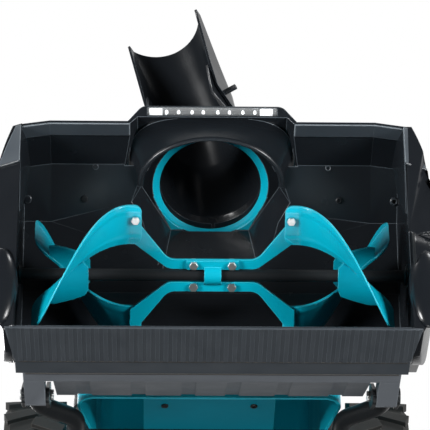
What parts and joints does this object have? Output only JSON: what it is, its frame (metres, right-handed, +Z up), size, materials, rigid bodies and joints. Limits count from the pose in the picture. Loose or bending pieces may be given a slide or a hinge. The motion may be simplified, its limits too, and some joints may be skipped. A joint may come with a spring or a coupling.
{
  "type": "snow blower",
  "caption": "Walk-behind battery snow blower with a ribbon auger in a wide intake, a turning chute with a tilting deflector, wheels, a battery bay and a folding handle.",
  "frame": {"origin": "on the ground under the middle of the bounding box", "axes": "X to the right seen from the front, Y from the cutting edge back to the handle, Z up"},
  "size_m": [0.582, 1.21, 1.0028],
  "materials": {
    "housing_plastic": "satin moulded",
    "teal_paint": "smooth gloss powder coat",
    "teal_plastic": "semi-gloss moulded",
    "chute_plastic": "glossy moulded",
    "scraper_plastic": "ribbed, lightly worn",
    "belly_plastic": "fine grain",
    "black_steel": "satin black",
    "zinc_steel": "zinc plated",
    "cast_alloy": "as cast",
    "belt_rubber": "matt",
    "grip_rubber": "soft matt",
    "tyre_rubber": "matt",
    "rim_plastic": "satin moulded",
    "lens_clear": "clear moulded",
    "board_white": "matt white",
    "battery_case": "fine grain",
    "button_red": "smooth",
    "button_grey": "smooth"
  },
  "bodies": {
    "chassis": {"auger_housing": "housing_plastic", "throat_ring": "teal_plastic", "light_lens": "lens_clear", "light_board": "board_white", "left_side_cover": "housing_plastic", "drive_plate": "black_steel", "drive_cover": "housing_plastic", "drive_belt": "belt_rubber", "auger_bearings": "zinc_steel", "motor_housing": "cast_alloy", "motor_stator": "zinc_steel", "scraper_plate": "scraper_plastic", "clamp_strip": "scraper_plastic", "belly_plate": "belly_plastic", "wheel_axle": "zinc_steel", "axle_caps": "zinc_steel", "frame_tube_right": "black_steel", "frame_tube_left": "black_steel", "frame_brackets": "black_steel", "frame_pins": "zinc_steel", "axle_brackets": "black_steel", "cross_members": "black_steel", "rear_cowl": "teal_plastic", "under_panel": "teal_plastic", "battery_tub": "housing_plastic", "battery_packs": "battery_case", "lid_pin": "zinc_steel", "control_module": "housing_plastic", "lower_handle_right": "black_steel", "lower_handle_left": "black_steel", "handle_sleeves": "housing_plastic", "fold_pins": "zinc_steel"},
    "auger": {"auger_shaft": "black_steel", "auger_hub": "teal_paint", "paddle_upper": "teal_paint", "paddle_lower": "teal_paint", "flight_left_front": "teal_paint", "flight_left_rear": "teal_paint", "flight_right_front": "teal_paint", "flight_right_rear": "teal_paint", "auger_bolts": "zinc_steel", "auger_pulley": "cast_alloy"},
    "rotor": {"motor_rotor": "zinc_steel", "motor_pulley": "cast_alloy"},
    "chute": {"chute": "chute_plastic", "deflector_pins": "zinc_steel"},
    "deflector": {"chute_deflector": "chute_plastic"},
    "wheel_left": {"tyre_left": "tyre_rubber", "rim_left": "rim_plastic"},
    "wheel_right": {"tyre_right": "tyre_rubber", "rim_right": "rim_plastic"},
    "handle": {"upper_handle": "black_steel", "handle_grips": "grip_rubber", "switch_box": "housing_plastic"},
    "bail": {"bail_lever": "black_steel"},
    "lock_off": {"lock_off_button": "button_red"},
    "light_switch": {"light_button": "button_grey"},
    "lid": {"battery_lid": "housing_plastic"},
    "knob_left": {"fold_knob_left": "housing_plastic"},
    "knob_right": {"fold_knob_right": "housing_plastic"}
  },
  "joints": [
    {"name": "auger_spin", "type": "hinge", "parent": "chassis", "child": "auger", "pos_m": [0, -0.50684, 0.119], "axis": [1, 0, 0], "continuous": true},
    {"name": "rotor_spin", "type": "hinge", "parent": "chassis", "child": "rotor", "pos_m": [0, -0.23584, 0.17], "axis": [1, 0, 0], "continuous": true},
    {"name": "chute_turn", "type": "hinge", "parent": "chassis", "child": "chute", "pos_m": [0, -0.41584, 0.324], "axis": [0, 0.4384, 0.8988], "range_deg": [-63, 127]},
    {"name": "deflector_tilt", "type": "hinge", "parent": "chute", "child": "deflector", "pos_m": [-0.02438, -0.3869, 0.47232], "axis": [0.848, -0.4763, 0.2323], "range_deg": [0, 40]},
    {"name": "wheel_left_spin", "type": "hinge", "parent": "chassis", "child": "wheel_left", "pos_m": [0, -0.00584, 0.1], "axis": [1, 0, 0], "continuous": true},
    {"name": "wheel_right_spin", "type": "hinge", "parent": "chassis", "child": "wheel_right", "pos_m": [0, -0.00584, 0.1], "axis": [1, 0, 0], "continuous": true},
    {"name": "handle_fold", "type": "hinge", "parent": "chassis", "child": "handle", "pos_m": [0, 0.31416, 0.6], "axis": [1, 0, 0], "range_deg": [0, 115]},
    {"name": "bail_squeeze", "type": "hinge", "parent": "handle", "child": "bail", "pos_m": [0, 0.52638, 0.90309], "axis": [-1, 0, 0], "range_deg": [0, 24], "stiffness_Nm_per_rad": 1.5, "springref_deg": -20.05},
    {"name": "lock_off_press", "type": "slide", "parent": "handle", "child": "lock_off", "axis": [0, -0.5736, -0.8192], "range_m": [0, 0.005], "stiffness_N_per_m": 600, "springref_m": -0.003},
    {"name": "light_press", "type": "slide", "parent": "handle", "child": "light_switch", "axis": [0, -0.5736, -0.8192], "range_m": [0, 0.005], "stiffness_N_per_m": 600, "springref_m": -0.003},
    {"name": "battery_lid_open", "type": "hinge", "parent": "chassis", "child": "lid", "pos_m": [0, 0.01366, 0.412], "axis": [-1, 0, 0], "range_deg": [0, 100]},
    {"name": "fold_knob_left_turn", "type": "hinge", "parent": "chassis", "child": "knob_left", "pos_m": [0, 0.31416, 0.6], "axis": [1, 0, 0], "continuous": true},
    {"name": "fold_knob_right_turn", "type": "hinge", "parent": "chassis", "child": "knob_right", "pos_m": [0, 0.31416, 0.6], "axis": [1, 0, 0], "continuous": true}
  ],
  "couplings": [
    {"joint": "rotor_spin", "follows": "auger_spin", "ratio": 2.875}
  ]
}
